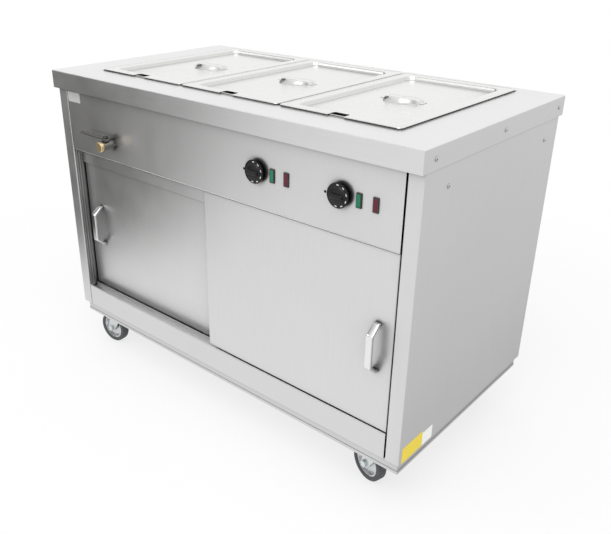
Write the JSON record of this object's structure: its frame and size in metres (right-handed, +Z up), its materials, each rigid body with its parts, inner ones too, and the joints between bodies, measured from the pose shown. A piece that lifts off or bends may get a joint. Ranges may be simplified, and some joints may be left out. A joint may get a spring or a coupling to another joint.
{
  "type": "hostess trolley",
  "caption": "Stainless hot cupboard on castors with sliding doors and a bain-marie top: lidded pans over a heated water well, thermostat knobs, lamps and a drain tap.",
  "frame": {"origin": "on the floor, midway between the sides and midway between the tip of the tap in front and the tip of the cable gland behind", "axes": "+Z up, +X to the right as seen from the front, +Y to the back, so the doors and controls face -Y"},
  "size_m": [1.2052, 0.6918, 0.8902],
  "materials": {
    "worktop_steel": "fine-grained stainless, polished to a soft sheen",
    "cabinet_steel": "fine-grained stainless sheet, vertical grain",
    "door_steel": "fine-grained stainless sheet",
    "inner_steel": "mill-finish stainless sheet",
    "well_steel": "deep-drawn stainless",
    "pan_steel": "satin stainless",
    "lid_steel": "satin stainless, bright",
    "handle_chrome": "polished chrome plate",
    "screw_steel": "bright stainless",
    "black_plastic": "black moulding, satin",
    "thermostat_case": "pale moulding",
    "lens_green": "green lamp lens",
    "lens_red": "dark red lamp lens",
    "tap_nickel": "dull nickel plate",
    "brass": "aged brass",
    "lever_paint": "dark dipped strap",
    "element_sheath": "heat-stained sheath",
    "nylon": "white nylon",
    "castor_zinc": "bright zinc plate",
    "hub_steel": "bright zinc plate",
    "tyre_rubber": "grey-black rubber, worn"
  },
  "bodies": {
    "cabinet": {"worktop": "worktop_steel", "side_panel_left": "cabinet_steel", "side_panel_right": "cabinet_steel", "back_panel": "cabinet_steel", "base_tray": "cabinet_steel", "castor_channels": "inner_steel", "bottom_rail": "cabinet_steel", "control_fascia": "cabinet_steel", "top_track": "inner_steel", "well_tank": "well_steel", "pan_bars": "well_steel", "cupboard_ceiling": "inner_steel", "cupboard_floor": "inner_steel", "inner_liner": "inner_steel", "shelves": "inner_steel", "well_element": "element_sheath", "cupboard_element": "element_sheath", "thermostats": "thermostat_case", "lamp_bodies": "black_plastic", "lamp_lenses_green": "lens_green", "lamp_lenses_red": "lens_red", "drain_pipe": "tap_nickel", "tap_body": "tap_nickel", "tap_cap": "brass", "cable_gland": "black_plastic", "castor_plates": "castor_zinc", "panel_screws": "screw_steel"},
    "door_left": {"door_left_outer": "door_steel", "door_left_inner": "inner_steel", "door_left_handle": "handle_chrome", "door_left_glides": "nylon"},
    "door_right": {"door_right_outer": "door_steel", "door_right_inner": "inner_steel", "door_right_handle": "handle_chrome", "door_right_glides": "nylon"},
    "knob_left": {"knob_left": "black_plastic"},
    "knob_right": {"knob_right": "black_plastic"},
    "tap_lever": {"tap_lever": "lever_paint"},
    "pan_left": {"pan_left": "pan_steel"},
    "lid_left": {"lid_left": "lid_steel"},
    "pan_middle": {"pan_middle": "pan_steel"},
    "lid_middle": {"lid_middle": "lid_steel"},
    "pan_right": {"pan_right": "pan_steel"},
    "lid_right": {"lid_right": "lid_steel"},
    "castor_front_left": {"fork_front_left": "castor_zinc", "axle_front_left": "castor_zinc"},
    "wheel_front_left": {"hub_front_left": "hub_steel", "tyre_front_left": "tyre_rubber"},
    "castor_back_left": {"fork_back_left": "castor_zinc", "axle_back_left": "castor_zinc"},
    "wheel_back_left": {"hub_back_left": "hub_steel", "tyre_back_left": "tyre_rubber"},
    "castor_front_right": {"fork_front_right": "castor_zinc", "axle_front_right": "castor_zinc"},
    "wheel_front_right": {"hub_front_right": "hub_steel", "tyre_front_right": "tyre_rubber"},
    "castor_back_right": {"fork_back_right": "castor_zinc", "axle_back_right": "castor_zinc"},
    "wheel_back_right": {"hub_back_right": "hub_steel", "tyre_back_right": "tyre_rubber"}
  },
  "joints": [
    {"name": "door_left_slide", "type": "slide", "parent": "cabinet", "child": "door_left", "axis": [1, 0, 0], "range_m": [0, 0.465]},
    {"name": "door_right_slide", "type": "slide", "parent": "cabinet", "child": "door_right", "axis": [1, 0, 0], "range_m": [-0.465, 0]},
    {"name": "knob_left_turn", "type": "hinge", "parent": "cabinet", "child": "knob_left", "pos_m": [0.171, -0.2999, 0.7525], "axis": [0, -1, 0], "range_deg": [-270, 0]},
    {"name": "knob_right_turn", "type": "hinge", "parent": "cabinet", "child": "knob_right", "pos_m": [0.406, -0.2999, 0.7525], "axis": [0, -1, 0], "range_deg": [-270, 0]},
    {"name": "tap_lever_turn", "type": "hinge", "parent": "cabinet", "child": "tap_lever", "pos_m": [-0.366, -0.3219, 0.7325], "axis": [0, 0, 1], "range_deg": [0, 90]},
    {"name": "pan_left_lift", "type": "slide", "parent": "cabinet", "child": "pan_left", "axis": [0, 0, 1], "range_m": [0, 0.2]},
    {"name": "lid_left_lift", "type": "slide", "parent": "pan_left", "child": "lid_left", "axis": [0, 0, 1], "range_m": [0, 0.12]},
    {"name": "pan_middle_lift", "type": "slide", "parent": "cabinet", "child": "pan_middle", "axis": [0, 0, 1], "range_m": [0, 0.2]},
    {"name": "lid_middle_lift", "type": "slide", "parent": "pan_middle", "child": "lid_middle", "axis": [0, 0, 1], "range_m": [0, 0.12]},
    {"name": "pan_right_lift", "type": "slide", "parent": "cabinet", "child": "pan_right", "axis": [0, 0, 1], "range_m": [0, 0.2]},
    {"name": "lid_right_lift", "type": "slide", "parent": "pan_right", "child": "lid_right", "axis": [0, 0, 1], "range_m": [0, 0.12]},
    {"name": "castor_front_left_swivel", "type": "hinge", "parent": "cabinet", "child": "castor_front_left", "pos_m": [-0.506, -0.2297, 0.115], "axis": [0, 0, 1], "continuous": true},
    {"name": "wheel_front_left_roll", "type": "hinge", "parent": "castor_front_left", "child": "wheel_front_left", "pos_m": [-0.54077, -0.23372, 0.05], "axis": [-0.1149, 0.9934, 0], "continuous": true},
    {"name": "castor_back_left_swivel", "type": "hinge", "parent": "cabinet", "child": "castor_back_left", "pos_m": [-0.506, 0.2503, 0.115], "axis": [0, 0, 1], "continuous": true},
    {"name": "wheel_back_left_roll", "type": "hinge", "parent": "castor_back_left", "child": "wheel_back_left", "pos_m": [-0.54024, 0.24302, 0.05], "axis": [-0.2079, 0.9781, 0], "continuous": true},
    {"name": "castor_front_right_swivel", "type": "hinge", "parent": "cabinet", "child": "castor_front_right", "pos_m": [0.506, -0.2297, 0.115], "axis": [0, 0, 1], "continuous": true},
    {"name": "wheel_front_right_roll", "type": "hinge", "parent": "castor_front_right", "child": "wheel_front_right", "pos_m": [0.47226, -0.22041, 0.05], "axis": [0.2656, 0.9641, 0], "continuous": true},
    {"name": "castor_back_right_swivel", "type": "hinge", "parent": "cabinet", "child": "castor_back_right", "pos_m": [0.506, 0.2503, 0.115], "axis": [0, 0, 1], "continuous": true},
    {"name": "wheel_back_right_roll", "type": "hinge", "parent": "castor_back_right", "child": "wheel_back_right", "pos_m": [0.47134, 0.25517, 0.05], "axis": [0.1392, 0.9903, 0], "continuous": true}
  ]
}
